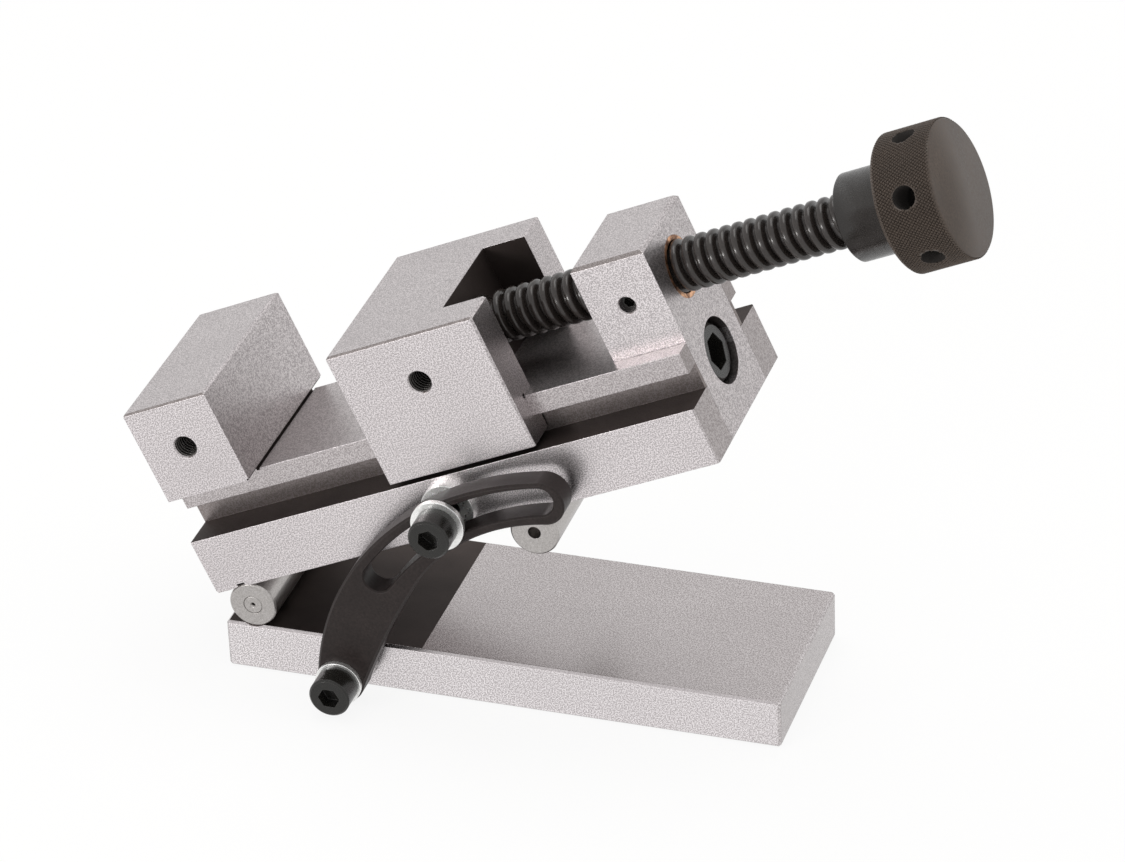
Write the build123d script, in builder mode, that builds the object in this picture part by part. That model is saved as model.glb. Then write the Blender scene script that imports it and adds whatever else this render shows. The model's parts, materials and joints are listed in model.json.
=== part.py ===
from build123d import *

import math
import os

os.makedirs("parts", exist_ok=True)

# Sine vise: a toolmaker's screw vise on two rolls, tilted on a ground base plate.
# Millimetres, +Z up. The origin is the middle of the base plate's underside.
# The vise is drawn in its own tilted frame: x along the rail, y across, z square to the rail,
# counted from the hinge roll's axis.

# Overall sizes
WIDTH = 63.0
LENGTH = 175.0
PLATE_THICK = 16.0
PLATE_CHAMFER = 0.8
EDGE_BREAK = 0.6

# Sine setting: the stack of gauge blocks under the sine roll sets the tilt
ROLL_CENTRES = 100.0
GAUGE_STACK = 40.5
TILT = math.degrees(math.asin(GAUGE_STACK / ROLL_CENTRES))

# Rolls
ROLL_R = 7.5
ROLL_SHORT = 1.0
ROLL_INSET = 9.0
ROLL_SEAT = 0.5
ROLL_CHAMFER = 0.5
SEAT_RELIEF_W = 2.6
SEAT_RELIEF_H = 0.8
HINGE_SEAT = 0.6
HINGE_PLAY = 0.03
PLUG_R = 3.0
PLUG_LENGTH = 8.0
CENTRE_DRILL_R = 0.9
SINE_ROLL_HOLE_R = 2.0
ROLL_SCREW_R = 2.0
ROLL_SCREW_HEAD_R = 3.5
ROLL_SCREW_HEAD_H = 4.0
ROLL_SCREW_HEX = 3.0
ROLL_SCREW_SINK = 5.0
ROLL_SCREW_GRIP = 8.0
ROLL_SCREW_SPREAD = 18.0

# Rail: base, neck and lips, one above the other
BASE_H = 18.5
NECK_H = 8.0
LIP_H = 6.8
NECK_W = 38.4
LIP_W = 48.6

# Jaws
JAW_H = 31.2
FIXED_JAW_T = 29.3
BED_RELIEF = 1.2
MOVING_JAW_L = 50.2
JAW_OPEN = 43.3
SKIRT_GAP = 1.5
SLIDE_PLAY = 0.03
NECK_PLAY = 0.5
LIP_NOTCH_R = 0.8
U_SLOT_W = 36.8
U_SLOT_L = 14.6
SIDE_TAP_R = 3.4
SIDE_TAP_DEPTH = 16.0
TAP_MOUTH = 0.4

# Nut block on the rail's end, with a leg let into the end face
NUT_L = 24.1
NUT_W = 35.4
LEG_T = 18.0
CHANNEL_PLAY = 0.12
NUT_CHAMFER = 1.0
BUSH_R = 9.5
BUSH_SCREW_R = 2.5
BUSH_SCREW_L = 6.0
BUSH_SCREW_HEX = 3.0
END_SCREW_Z = 27.4
END_SCREW_R = 6.0
END_SCREW_PLAY = 0.3
END_SCREW_HEAD_R = 9.0
END_SCREW_HEAD_H = 12.0
END_SCREW_HEX = 10.0
END_SCREW_GRIP = 19.0
COUNTERBORE_R = 10.25
COUNTERBORE_DEPTH = 13.5

# Lead screw: its 16 mm trapezoidal thread, 4 mm pitch, is drawn at the crests
SCREW_Z = 56.2
THREAD_R = 8.0
THREAD_PLAY = 0.05
THREAD_CHAMFER = 0.8

# Screw ends and knob
NOSE_R = 6.0
NOSE_LENGTH = 20.0
NOSE_PLAY = 0.04
NOSE_DEPTH_PLAY = 1.0
NOSE_GROOVE_R = 4.2
NOSE_GROOVE_W = 5.4
DOG_R = 2.4
DOG_LENGTH = 2.76
DOG_SCREW_L = 15.0
DOG_SCREW_HEX = 4.0
HUB_X = 222.4
HUB_R = 13.1
HUB_L = 15.8
KNOB_R = 20.7
KNOB_L = 18.6
KNOB_CHAMFER = 0.8
SHANK_R = 5.0
SHANK_L = 25.0
TOMMY_HOLES = 6
TOMMY_R = 3.5
TOMMY_DEPTH = 11.0
TOMMY_TURN = 93.3

# Slotted arm: pivots on the plate, carries the vise's clamp screw in its slot.
# It turns ARM_RATIO times as far as the vise tilts; the slot leaves room for the clamp screw,
# whose path in the arm is close to the slot's arc but not on it.
# The arm is drawn upright at ARM_REF_TILT, from its pivot. Angles run about the slot's centre,
# and walls are counted from the slot's edge, so the arm follows its slot.
ARM_T = 7.8
ARM_PLAY = 0.05
ARM_RATIO = 1.277
ARM_REF_TILT = 23.9
PIVOT_X = 31.3
PIVOT_PLAY = 0.05
CLAMP_SHANK_R = 3.25
CLAMP_OFF_ARC = 1.11
CLAMP_ANGLE = 125.1
SLOT_ARC_R = 81.0
SLOT_PAST_PIVOT = 1.0
SLOT_CENTRE_ANGLE = -4.0
SLOT_PLAY = 1.25
SLOT_FROM = 101.4
SLOT_TO = 146.6
SLOT_BEVEL = 0.5
ARM_RIM = 0.8
ARM_RIM_BACK = 2.8
ARM_RIM_UP = 0.3
ARM_RIM_FROM = 99.7
ARM_TIP_WALL = 2.44
ARM_TIP_ANGLE = 96.0
ARM_HEAD_WALL = 3.35
ARM_HEAD_ANGLE = 101.8
ARM_BELLY_WALL = 2.97
ARM_BELLY_ANGLE = 117.4
ARM_NECK_WALL = 5.09
ARM_NECK_ANGLE = 139.4
ARM_WAIST_WALL = 6.42
ARM_WAIST_ANGLE = 158.5
ARM_FOOT_R = 7.6
ARM_FOOT_END = -12.0
ARM_BEVEL = 0.7

# Socket head cap screws, 8 mm, and their washers; two washers stand between arm and vise
CAP_R = 4.0
CAP_HEAD_R = 6.4
CAP_HEAD_H = 8.0
CAP_HEX = 6.0
CAP_HEX_DEPTH = 4.0
CAP_GRIP = 12.0
CAP_CHAMFER = 0.6
CAP_HOLE_PLAY = 0.2
PIVOT_WASHER_R = 7.2
CLAMP_WASHER_R = 8.2
WASHER_T = 1.6

# Levels and stations in the vise's frame
Z_BOTTOM = ROLL_R - ROLL_SEAT
Z_LEDGE = Z_BOTTOM + BASE_H
Z_LIP = Z_LEDGE + NECK_H
Z_RAIL = Z_LIP + LIP_H
Z_TOP = Z_RAIL + JAW_H
X_LEFT = -ROLL_INSET
X_RIGHT = X_LEFT + LENGTH
X_FIXED_FACE = X_LEFT + FIXED_JAW_T
X_JAW = X_FIXED_FACE + JAW_OPEN
X_JAW_BACK = X_JAW + MOVING_JAW_L
X_U_SLOT = X_JAW_BACK - U_SLOT_L
X_JAW_HOLE = X_JAW + MOVING_JAW_L / 2
X_NUT = X_RIGHT - NUT_L
X_CHANNEL = X_RIGHT - LEG_T
X_RIM = HUB_X + HUB_L
X_KNOB_END = X_RIM + KNOB_L
NEAR = -WIDTH / 2
ROLL_LENGTH = WIDTH - ROLL_SHORT

SIN = math.sin(math.radians(TILT))
COS = math.cos(math.radians(TILT))
ALONG = Vector(COS, 0, SIN)
UP = Vector(-SIN, 0, COS)
ACROSS = Vector(0, 1, 0)
HINGE = Vector(-LENGTH / 2 + ROLL_INSET, 0, PLATE_THICK + ROLL_R - HINGE_SEAT)


def polar(centre, radius, degrees):
    """A point at a radius and an angle from a centre, in a plane."""
    angle = math.radians(degrees)
    return (centre[0] + radius * math.cos(angle), centre[1] + radius * math.sin(angle))


# The slot, seen from the arm's pivot, and the clamp screw's place in the vise, which the arm's
# drawn position sets
SLOT_W = 2 * (CLAMP_SHANK_R + SLOT_PLAY)
SLOT_CENTRE = polar((0, 0), SLOT_ARC_R + SLOT_PAST_PIVOT, SLOT_CENTRE_ANGLE)
CLAMP = polar(SLOT_CENTRE, SLOT_ARC_R + CLAMP_OFF_ARC, CLAMP_ANGLE)
REACH = (CLAMP[0] + PIVOT_X, CLAMP[1] + PLATE_THICK / 2 - HINGE.Z)
CLAMP_X, CLAMP_Z = polar(
    (0, 0), math.hypot(*REACH), math.degrees(math.atan2(REACH[1], REACH[0])) - ARM_REF_TILT
)


def at(x, y, z):
    """A point of the vise's frame in the shared frame."""
    return HINGE + ALONG * x + ACROSS * y + UP * z


def level(z):
    """Plane parallel to the rail's top; its normal is UP."""
    return Plane(origin=at(0, 0, z), x_dir=ALONG, z_dir=UP)


def under(z):
    """The same plane seen from below; holes drilled on it go up."""
    return Plane(origin=at(0, 0, z), x_dir=ALONG, z_dir=-UP)


def cross(x):
    """Plane square to the rail; sketch x is across, sketch y is up."""
    return Plane(origin=at(x, 0, 0), x_dir=ACROSS, z_dir=ALONG)


def side(y):
    """Plane parallel to the vise's sides; its normal points to the near side."""
    return Plane(origin=at(0, y, 0), x_dir=ALONG, z_dir=-ACROSS)


def spots(plane, *points):
    """Locations of sketch points on a plane, for drilled holes."""
    return [plane.location * Location((x, y, 0)) for x, y in points]


def edges_at(shape, tolerance=0.05, **wanted):
    """Edges whose middle lies at the given x, y or z of the vise's frame."""
    found = []
    for edge in shape.edges():
        middle = edge.center()
        arm = middle - HINGE
        place = {"x": arm.dot(ALONG), "y": middle.Y, "z": arm.dot(UP)}
        if all(abs(place[key] - value) < tolerance for key, value in wanted.items()):
            found.append(edge)
    return found


def finish(piece, name):
    """Label a piece and write its STEP file."""
    piece.part.label = name
    export_step(piece.part, f"parts/{name}.step")


# Base plate: ground block, shallow seat for the hinge roll, hole for the arm's pivot screw
PIVOT = Vector(HINGE.X + PIVOT_X, 0, PLATE_THICK / 2)
plate_near = Plane(origin=(0, NEAR, 0), x_dir=(1, 0, 0), z_dir=(0, -1, 0))
with BuildPart() as base_plate:
    Box(LENGTH, WIDTH, PLATE_THICK, align=(Align.CENTER, Align.CENTER, Align.MIN))
    chamfer(base_plate.edges(), PLATE_CHAMFER)
    with BuildSketch(side(-NEAR)):
        Circle(ROLL_R + HINGE_PLAY)
    extrude(amount=WIDTH, mode=Mode.SUBTRACT)
    with Locations(*spots(plate_near, (PIVOT.X, PIVOT.Z))):
        Hole(CAP_R, depth=CAP_GRIP)
finish(base_plate, "base_plate")

# Vise body: T rail with the fixed jaw in one piece with it
with BuildPart() as vise_body:
    with BuildSketch(cross(X_LEFT)):
        with BuildLine():
            Polyline(
                (0, Z_BOTTOM),
                (WIDTH / 2, Z_BOTTOM),
                (WIDTH / 2, Z_LEDGE),
                (NECK_W / 2, Z_LEDGE),
                (NECK_W / 2, Z_LIP),
                (LIP_W / 2, Z_LIP),
                (LIP_W / 2, Z_RAIL),
                (0, Z_RAIL),
            )
            mirror(about=Plane.YZ)
        make_face()
    extrude(amount=LENGTH)
    with BuildSketch(level(Z_RAIL)):
        with Locations((X_LEFT + FIXED_JAW_T / 2, 0)):
            Rectangle(FIXED_JAW_T, WIDTH)
    extrude(amount=JAW_H)
    # channel for the nut block's leg
    with BuildSketch(level(Z_BOTTOM)):
        with Locations((X_RIGHT - LEG_T / 2, 0)):
            Rectangle(LEG_T, NUT_W + 2 * CHANNEL_PLAY)
    extrude(amount=Z_RAIL - Z_BOTTOM, mode=Mode.SUBTRACT)
    # edges that a hand meets, and the corners of the base
    chamfer(edges_at(vise_body, z=Z_TOP), EDGE_BREAK)
    chamfer(edges_at(vise_body, x=X_LEFT, z=Z_BOTTOM), EDGE_BREAK)
    for y in (NEAR, -NEAR):
        chamfer(edges_at(vise_body, x=X_RIGHT, y=y), EDGE_BREAK)
    # relief at the foot of the fixed jaw
    with BuildSketch(side(-NEAR)):
        with Locations((X_FIXED_FACE, Z_RAIL)):
            Rectangle(BED_RELIEF, BED_RELIEF)
        # roll seats, each with a relief above the roll
        with Locations((0, 0), (ROLL_CENTRES, 0)):
            Circle(ROLL_R)
        with Locations((0, ROLL_R), (ROLL_CENTRES, ROLL_R)):
            Rectangle(SEAT_RELIEF_W, 2 * SEAT_RELIEF_H)
    extrude(amount=WIDTH, mode=Mode.SUBTRACT)
    # tapped holes: stop hole in the fixed jaw, clamp screw, nut block screw, roll screws
    with Locations(*spots(side(NEAR), (X_LEFT + FIXED_JAW_T / 2, SCREW_Z))):
        CounterSinkHole(SIDE_TAP_R, SIDE_TAP_R + TAP_MOUTH, depth=SIDE_TAP_DEPTH)
    with Locations(*spots(side(NEAR), (CLAMP_X, CLAMP_Z))):
        Hole(CLAMP_SHANK_R, depth=CAP_GRIP)
    with Locations(*spots(cross(X_CHANNEL), (0, END_SCREW_Z))):
        Hole(END_SCREW_R, depth=END_SCREW_GRIP)
    with Locations(
        *spots(
            under(Z_BOTTOM),
            (0, -ROLL_SCREW_SPREAD),
            (0, ROLL_SCREW_SPREAD),
            (ROLL_CENTRES, -ROLL_SCREW_SPREAD),
            (ROLL_CENTRES, ROLL_SCREW_SPREAD),
        )
    ):
        Hole(ROLL_SCREW_R, depth=ROLL_SCREW_GRIP)
finish(vise_body, "vise_body")

# Movable jaw: block with a T slot that wraps round the rail's lips and a U slot at the back
with BuildPart() as movable_jaw:
    with BuildSketch(cross(X_JAW)):
        with BuildLine():
            Polyline(
                (0, Z_TOP),
                (WIDTH / 2, Z_TOP),
                (WIDTH / 2, Z_LEDGE + SKIRT_GAP),
                (NECK_W / 2 + NECK_PLAY, Z_LEDGE + SKIRT_GAP),
                (NECK_W / 2 + NECK_PLAY, Z_LIP - SLIDE_PLAY),
                (LIP_W / 2 + SLIDE_PLAY, Z_LIP - SLIDE_PLAY),
                (LIP_W / 2 + SLIDE_PLAY, Z_RAIL + SLIDE_PLAY),
                (0, Z_RAIL + SLIDE_PLAY),
            )
            mirror(about=Plane.YZ)
        make_face()
        with Locations((LIP_W / 2, Z_RAIL), (-LIP_W / 2, Z_RAIL)):
            Circle(LIP_NOTCH_R, mode=Mode.SUBTRACT)
    extrude(amount=MOVING_JAW_L)
    chamfer(edges_at(movable_jaw, z=Z_TOP), EDGE_BREAK)
    for y in (NEAR, -NEAR):
        chamfer(edges_at(movable_jaw, x=X_JAW_BACK, y=y), EDGE_BREAK)
    with BuildSketch(level(Z_RAIL)):
        with Locations((X_JAW_BACK - U_SLOT_L / 2, 0)):
            Rectangle(U_SLOT_L, U_SLOT_W)
    extrude(amount=JAW_H, mode=Mode.SUBTRACT)
    with Locations(*spots(cross(X_U_SLOT), (0, SCREW_Z))):
        Hole(NOSE_R + NOSE_PLAY, depth=NOSE_LENGTH + NOSE_DEPTH_PLAY)
    with Locations(*spots(side(NEAR), (X_JAW_HOLE, SCREW_Z))):
        CounterSinkHole(SIDE_TAP_R, SIDE_TAP_R + TAP_MOUTH, depth=-NEAR)
finish(movable_jaw, "movable_jaw")

# Nut block: sits on the rail's end, its leg fills the channel
with BuildPart() as nut_block:
    with BuildSketch(side(NUT_W / 2)):
        with BuildLine():
            Polyline(
                (X_NUT, Z_TOP),
                (X_NUT, Z_RAIL),
                (X_CHANNEL, Z_RAIL),
                (X_CHANNEL, Z_BOTTOM),
                (X_RIGHT, Z_BOTTOM),
                (X_RIGHT, Z_TOP),
                (X_NUT, Z_TOP),
            )
        make_face()
    extrude(amount=NUT_W)
    chamfer(edges_at(nut_block, z=Z_TOP), NUT_CHAMFER)
    with Locations(*spots(cross(X_RIGHT), (0, SCREW_Z))):
        Hole(BUSH_R)
    with Locations(*spots(cross(X_RIGHT), (0, END_SCREW_Z))):
        CounterBoreHole(END_SCREW_R + END_SCREW_PLAY, COUNTERBORE_R, COUNTERBORE_DEPTH)
    with Locations(*spots(side(-NUT_W / 2), (X_NUT + NUT_L / 2, SCREW_Z))):
        CounterSinkHole(BUSH_SCREW_R, BUSH_SCREW_R + TAP_MOUTH, depth=NUT_W / 2 - BUSH_R / 2)
finish(nut_block, "nut_block")

SCREW_AXIS = Axis(at(0, 0, SCREW_Z), ALONG)


def thread_axis(x):
    """Plane square to the screw at station x."""
    return Plane(origin=at(x, 0, SCREW_Z), x_dir=ACROSS, z_dir=ALONG)


# Nut bush: bronze sleeve pressed into the nut block
with BuildPart() as nut_bush:
    with BuildSketch(thread_axis(X_NUT)):
        Circle(BUSH_R)
        Circle(THREAD_R + THREAD_PLAY, mode=Mode.SUBTRACT)
    extrude(amount=NUT_L)
finish(nut_bush, "nut_bush")

# Lead screw: nose with a retaining groove, threaded length and a shank for the knob
with BuildPart() as lead_screw:
    with BuildSketch(Plane(origin=at(0, 0, SCREW_Z), x_dir=ALONG, z_dir=-ACROSS)):
        with BuildLine():
            Polyline(
                (X_U_SLOT - NOSE_LENGTH, 0),
                (X_U_SLOT - NOSE_LENGTH, NOSE_R),
                (X_JAW_HOLE - NOSE_GROOVE_W / 2, NOSE_R),
                (X_JAW_HOLE - NOSE_GROOVE_W / 2, NOSE_GROOVE_R),
                (X_JAW_HOLE + NOSE_GROOVE_W / 2, NOSE_GROOVE_R),
                (X_JAW_HOLE + NOSE_GROOVE_W / 2, NOSE_R),
                (X_U_SLOT + NOSE_PLAY, NOSE_R),
                (X_U_SLOT + NOSE_PLAY, THREAD_R - THREAD_CHAMFER),
                (X_U_SLOT + NOSE_PLAY + THREAD_CHAMFER, THREAD_R),
                (HUB_X, THREAD_R),
                (HUB_X, SHANK_R),
                (HUB_X + SHANK_L, SHANK_R),
                (HUB_X + SHANK_L, 0),
                (X_U_SLOT - NOSE_LENGTH, 0),
            )
        make_face()
    revolve(axis=SCREW_AXIS)
finish(lead_screw, "lead_screw")

# Knob: hub and rim, six radial holes for a tommy bar
with BuildPart() as knob:
    with BuildSketch(thread_axis(HUB_X)):
        Circle(HUB_R)
    extrude(amount=HUB_L)
    with BuildSketch(thread_axis(X_RIM)):
        Circle(KNOB_R)
    extrude(amount=KNOB_L)
    chamfer(knob.edges().filter_by(GeomType.CIRCLE).sort_by(SCREW_AXIS)[0], EDGE_BREAK)
    chamfer(knob.edges().filter_by(GeomType.CIRCLE).sort_by(SCREW_AXIS)[-1], KNOB_CHAMFER)
    chamfer(
        knob.edges().filter_by(GeomType.CIRCLE).sort_by(SortBy.RADIUS)[-1], KNOB_CHAMFER
    )
    with Locations(Plane(origin=at(HUB_X, 0, SCREW_Z), x_dir=ACROSS, z_dir=-ALONG).location):
        Hole(SHANK_R, depth=SHANK_L)
    for turn in range(TOMMY_HOLES):
        angle = math.radians(TOMMY_TURN + 360 / TOMMY_HOLES * turn)
        radial = ACROSS * math.cos(angle) + UP * math.sin(angle)
        mouth = at(X_RIM + KNOB_L / 2, 0, SCREW_Z) + radial * KNOB_R
        with Locations(Plane(origin=mouth, x_dir=ALONG, z_dir=radial).location):
            Hole(TOMMY_R, depth=TOMMY_DEPTH)
finish(knob, "knob")

# Set screws, drawn at the core size of their threads: the dog point runs in the nose groove,
# the small one holds the bush
with BuildPart() as jaw_dog_screw:
    dog_end = NOSE_GROOVE_R + NOSE_PLAY
    shoulder = dog_end + DOG_LENGTH
    with BuildSketch(side(-shoulder)):
        with Locations((X_JAW_HOLE, SCREW_Z)):
            Circle(SIDE_TAP_R)
    extrude(amount=DOG_SCREW_L)
    with BuildSketch(side(-dog_end)):
        with Locations((X_JAW_HOLE, SCREW_Z)):
            Circle(DOG_R)
    extrude(amount=DOG_LENGTH)
    with BuildSketch(side(-shoulder - DOG_SCREW_L)):
        with Locations((X_JAW_HOLE, SCREW_Z)):
            RegularPolygon(DOG_SCREW_HEX / 2, 6, major_radius=False)
    extrude(amount=-DOG_SCREW_HEX, mode=Mode.SUBTRACT)
finish(jaw_dog_screw, "jaw_dog_screw")

with BuildPart() as bush_set_screw:
    with BuildSketch(side(-BUSH_R)):
        with Locations((X_NUT + NUT_L / 2, SCREW_Z)):
            Circle(BUSH_SCREW_R)
    extrude(amount=BUSH_SCREW_L)
    with BuildSketch(side(-BUSH_R - BUSH_SCREW_L)):
        with Locations((X_NUT + NUT_L / 2, SCREW_Z)):
            RegularPolygon(BUSH_SCREW_HEX / 2, 6, major_radius=False)
    extrude(amount=-BUSH_SCREW_HEX, mode=Mode.SUBTRACT)
finish(bush_set_screw, "bush_set_screw")


def cap_screw(seat, radius, grip, head_r, head_h, hex_size, hex_depth, break_edge):
    """Socket head cap screw on a seat plane: head above the seat, shank below it."""
    with BuildPart() as screw:
        with BuildSketch(seat):
            Circle(head_r)
        extrude(amount=head_h)
        top = screw.faces().sort_by(Axis(seat.origin, seat.z_dir))[-1]
        chamfer(top.edges(), break_edge)
        with BuildSketch(seat):
            Circle(radius)
        extrude(amount=-grip)
        with BuildSketch(seat.offset(head_h)):
            RegularPolygon(hex_size / 2, 6, major_radius=False)
        extrude(amount=-hex_depth, mode=Mode.SUBTRACT)
    return screw


def shifted(plane, x, y):
    """A plane moved in itself to a sketch point."""
    return Plane(origin=plane.from_local_coords((x, y, 0)), x_dir=plane.x_dir, z_dir=plane.z_dir)


# Large cap screw that ties the nut block's leg to the body
nut_block_screw = cap_screw(
    shifted(cross(X_RIGHT - COUNTERBORE_DEPTH), 0, END_SCREW_Z),
    END_SCREW_R,
    LEG_T - COUNTERBORE_DEPTH + END_SCREW_GRIP,
    END_SCREW_HEAD_R,
    END_SCREW_HEAD_H,
    END_SCREW_HEX,
    END_SCREW_HEX / 2,
    END_SCREW_R / 6,
)
finish(nut_block_screw, "nut_block_screw")

# Rolls: the hinge roll is the tilt axis, the sine roll stands on the gauge blocks
with BuildPart() as hinge_roll:
    with BuildSketch(side(ROLL_LENGTH / 2)):
        Circle(ROLL_R)
    extrude(amount=ROLL_LENGTH)
    chamfer(hinge_roll.edges().filter_by(GeomType.CIRCLE), ROLL_CHAMFER)
    with Locations(*spots(side(-ROLL_LENGTH / 2), (0, 0))):
        Hole(PLUG_R, depth=PLUG_LENGTH)
    with Locations(
        *spots(under(-ROLL_R), (0, -ROLL_SCREW_SPREAD), (0, ROLL_SCREW_SPREAD))
    ):
        CounterBoreHole(ROLL_SCREW_R, ROLL_SCREW_HEAD_R + CAP_HOLE_PLAY, ROLL_SCREW_SINK)
finish(hinge_roll, "hinge_roll")

with BuildPart() as hinge_roll_plug:
    with BuildSketch(side(PLUG_LENGTH - ROLL_LENGTH / 2)):
        Circle(PLUG_R)
    extrude(amount=PLUG_LENGTH)
    chamfer(hinge_roll_plug.faces().sort_by(Axis.Y)[0].edges(), ROLL_CHAMFER / 2)
    with Locations(*spots(side(-ROLL_LENGTH / 2), (0, 0))):
        CounterSinkHole(CENTRE_DRILL_R / 2, CENTRE_DRILL_R, depth=PLUG_LENGTH / 2)
finish(hinge_roll_plug, "hinge_roll_plug")

with BuildPart() as sine_roll:
    with BuildSketch(side(ROLL_LENGTH / 2)):
        with Locations((ROLL_CENTRES, 0)):
            Circle(ROLL_R)
    extrude(amount=ROLL_LENGTH)
    chamfer(sine_roll.edges().filter_by(GeomType.CIRCLE), ROLL_CHAMFER)
    with Locations(*spots(side(-ROLL_LENGTH / 2), (ROLL_CENTRES, 0))):
        Hole(SINE_ROLL_HOLE_R, depth=PLUG_LENGTH)
    with Locations(
        *spots(
            under(-ROLL_R),
            (ROLL_CENTRES, -ROLL_SCREW_SPREAD),
            (ROLL_CENTRES, ROLL_SCREW_SPREAD),
        )
    ):
        CounterBoreHole(ROLL_SCREW_R, ROLL_SCREW_HEAD_R + CAP_HOLE_PLAY, ROLL_SCREW_SINK)
finish(sine_roll, "sine_roll")

# Roll screws: one node, four separate solids
with BuildPart() as roll_screws:
    for x in (0, ROLL_CENTRES):
        for y in (-ROLL_SCREW_SPREAD, ROLL_SCREW_SPREAD):
            one = cap_screw(
                shifted(under(ROLL_SCREW_SINK - ROLL_R), x, y),
                ROLL_SCREW_R,
                Z_BOTTOM + ROLL_SCREW_GRIP - (ROLL_SCREW_SINK - ROLL_R),
                ROLL_SCREW_HEAD_R,
                ROLL_SCREW_HEAD_H,
                ROLL_SCREW_HEX,
                ROLL_SCREW_HEX * 2 / 3,
                ROLL_SCREW_R / 6,
            )
            add(one.part)
finish(roll_screws, "roll_screws")


# Slotted arm, drawn from its pivot in the plane of its back face
Y_ARM = NEAR - 2 * (WASHER_T + ARM_PLAY)
arm_turn = math.radians(ARM_RATIO * (TILT - ARM_REF_TILT))
arm_back = Plane(
    origin=(PIVOT.X, Y_ARM, PIVOT.Z),
    x_dir=(math.cos(arm_turn), 0, math.sin(arm_turn)),
    z_dir=(0, -1, 0),
)


def by_slot(wall, degrees):
    """A point of the arm's inner edge: a wall inside the slot's edge, at an angle of the slot's."""
    return polar(SLOT_CENTRE, SLOT_ARC_R - SLOT_W / 2 - wall, degrees)


with BuildLine() as slot_middle:
    CenterArc(SLOT_CENTRE, SLOT_ARC_R, SLOT_FROM, SLOT_TO - SLOT_FROM)
with BuildPart() as slotted_arm:
    with BuildSketch(arm_back):
        with BuildLine():
            rim_centre = (SLOT_CENTRE[0] - ARM_RIM_BACK, SLOT_CENTRE[1] + ARM_RIM_UP)
            foot_level = math.degrees(math.atan2(-rim_centre[1], -rim_centre[0]))
            outer = CenterArc(
                rim_centre, SLOT_ARC_R + SLOT_W / 2 + ARM_RIM, ARM_RIM_FROM, foot_level - ARM_RIM_FROM
            )
            foot_end = polar((0, 0), ARM_FOOT_R, ARM_FOOT_END)
            neck = by_slot(ARM_NECK_WALL, ARM_NECK_ANGLE)
            head = by_slot(ARM_HEAD_WALL, ARM_HEAD_ANGLE)
            tip = by_slot(-ARM_TIP_WALL, ARM_TIP_ANGLE)
            ThreePointArc(outer @ 1, polar((0, 0), ARM_FOOT_R, -90), foot_end)
            ThreePointArc(foot_end, by_slot(ARM_WAIST_WALL, ARM_WAIST_ANGLE), neck)
            ThreePointArc(neck, by_slot(ARM_BELLY_WALL, ARM_BELLY_ANGLE), head)
            ThreePointArc(head, tip, outer @ 0)
        make_face()
    extrude(amount=ARM_T - ARM_BEVEL)
    extrude(slotted_arm.faces().sort_by(Axis.Y)[0], amount=ARM_BEVEL, taper=45)
    with BuildSketch(arm_back):
        SlotArc(slot_middle.wire(), SLOT_W)
    extrude(amount=ARM_T, mode=Mode.SUBTRACT)
    with BuildSketch(arm_back.offset(ARM_T)):
        SlotArc(slot_middle.wire(), SLOT_W + 2 * SLOT_BEVEL)
    extrude(amount=-SLOT_BEVEL, taper=45, mode=Mode.SUBTRACT)
    with Locations(*spots(arm_back.offset(ARM_T), (0, 0))):
        Hole(CAP_R + PIVOT_PLAY)
finish(slotted_arm, "slotted_arm")

# Cap screws and washers that hold the arm: pivot in the plate, clamp in the vise's side
HEAD_SEAT = 3 * (WASHER_T + ARM_PLAY) + ARM_T
INNER_WASHERS = (HEAD_SEAT - 2 * WASHER_T - ARM_PLAY, HEAD_SEAT - WASHER_T)
pivot_seat = Plane(origin=(PIVOT.X, NEAR - HEAD_SEAT, PIVOT.Z), x_dir=(1, 0, 0), z_dir=(0, -1, 0))
clamp_seat = shifted(side(NEAR - HEAD_SEAT), CLAMP_X, CLAMP_Z)
for seat, shank, use in (
    (pivot_seat, CAP_R, "arm_pivot_screw"),
    (clamp_seat, CLAMP_SHANK_R, "arm_clamp_screw"),
):
    screw = cap_screw(
        seat, shank, HEAD_SEAT + CAP_GRIP, CAP_HEAD_R, CAP_HEAD_H, CAP_HEX, CAP_HEX_DEPTH, CAP_CHAMFER
    )
    finish(screw, use)

# One washer under each head, and two separate ones behind the arm
for seat, radius, use in (
    (pivot_seat, PIVOT_WASHER_R, "pivot"),
    (clamp_seat, CLAMP_WASHER_R, "clamp"),
):
    for depths, face in (((0,), "outer"), (INNER_WASHERS, "inner")):
        with BuildPart() as washers:
            for depth in depths:
                with BuildSketch(seat.offset(-depth)):
                    Circle(radius)
                    Circle(CAP_R + CAP_HOLE_PLAY, mode=Mode.SUBTRACT)
                extrude(amount=-WASHER_T)
        finish(washers, f"{use}_washer_{face}")
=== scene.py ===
import json
import math

import bmesh
import bpy
from bpy.props import FloatProperty, FloatVectorProperty, IntProperty, PointerProperty
from mathutils import Matrix, Vector


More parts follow.
